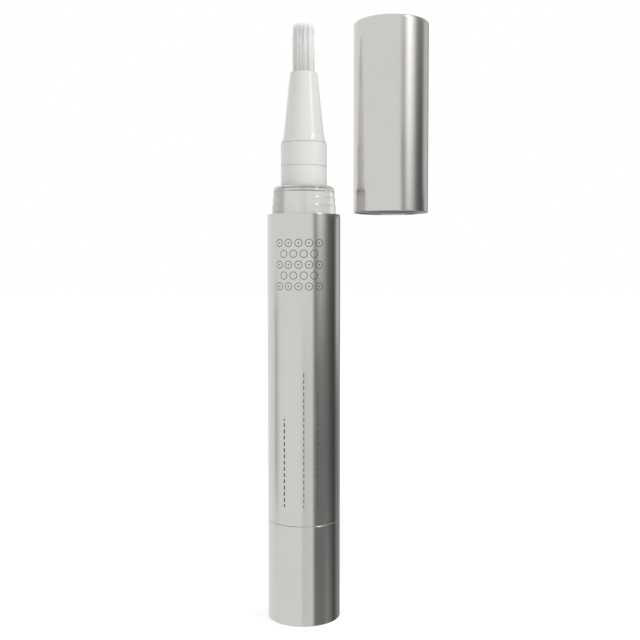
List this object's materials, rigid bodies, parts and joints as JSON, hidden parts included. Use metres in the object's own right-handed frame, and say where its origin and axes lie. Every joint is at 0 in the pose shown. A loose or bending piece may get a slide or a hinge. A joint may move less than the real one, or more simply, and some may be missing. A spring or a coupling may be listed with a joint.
{
  "type": "nail oil pen",
  "caption": "Slim twist-up nail oil pen: metal barrel and turning knob, screw-driven piston reservoir, clear collar, white tapered nozzle, flat-cut brush and pull-off cap.",
  "frame": {"origin": "centre of the knob's flat end face, on the barrel's axis", "axes": "+Z along the barrel from the knob to the brush; +X from the barrel's axis towards the cap set aside; the front that the picture shows faces -Y"},
  "size_m": [0.0351, 0.0162, 0.1303],
  "materials": {
    "satin_aluminium": "satin anodised",
    "clear_plastic": "clear moulded",
    "natural_plastic": "natural translucent",
    "drive_plastic": "moulded",
    "white_plastic": "polished white",
    "soft_seal": "soft foam",
    "seal_rubber": "smooth",
    "nylon_bristle": "drawn nylon",
    "serum_oil": "clear liquid"
  },
  "bodies": {
    "barrel": {"barrel_sleeve": "satin_aluminium", "reservoir_tube": "clear_plastic", "drive_housing": "drive_plastic", "screw_nut": "drive_plastic", "ratchet_ring": "drive_plastic", "neck_plug": "natural_plastic", "plug_o_ring": "seal_rubber", "lower_neck_ring": "white_plastic", "upper_neck_ring": "white_plastic", "nozzle": "white_plastic", "bristle_retainer": "natural_plastic", "bristles": "nylon_bristle", "feed_tube": "natural_plastic", "serum": "serum_oil"},
    "knob": {"knob_sleeve": "satin_aluminium", "knob_core": "natural_plastic", "drive_stem": "drive_plastic", "click_pawls": "drive_plastic"},
    "rod": {"screw_rod": "drive_plastic"},
    "piston": {"piston": "drive_plastic", "piston_o_rings": "seal_rubber"},
    "cap": {"cap_shell": "satin_aluminium", "cap_liner": "natural_plastic", "cap_seal": "soft_seal"}
  },
  "joints": [
    {"name": "knob_turn", "type": "hinge", "parent": "barrel", "child": "knob", "pos_m": [0, 0, 0.022], "axis": [0, 0, 1], "range_deg": [0, 3960]},
    {"name": "rod_advance", "type": "slide", "parent": "knob", "child": "rod", "axis": [0, 0, 1], "range_m": [0, 0.033]},
    {"name": "piston_advance", "type": "slide", "parent": "barrel", "child": "piston", "axis": [0, 0, 1], "range_m": [0, 0.033], "deforming": ["serum"]},
    {"name": "cap_lift", "type": "slide", "parent": "barrel", "child": "cap", "axis": [0, 0, 1], "range_m": [0, 0.042]}
  ],
  "couplings": [
    {"joint": "rod_advance", "follows": "knob_turn", "m_per_rad": 0.00047746},
    {"joint": "piston_advance", "follows": "knob_turn", "m_per_rad": 0.00047746}
  ]
}
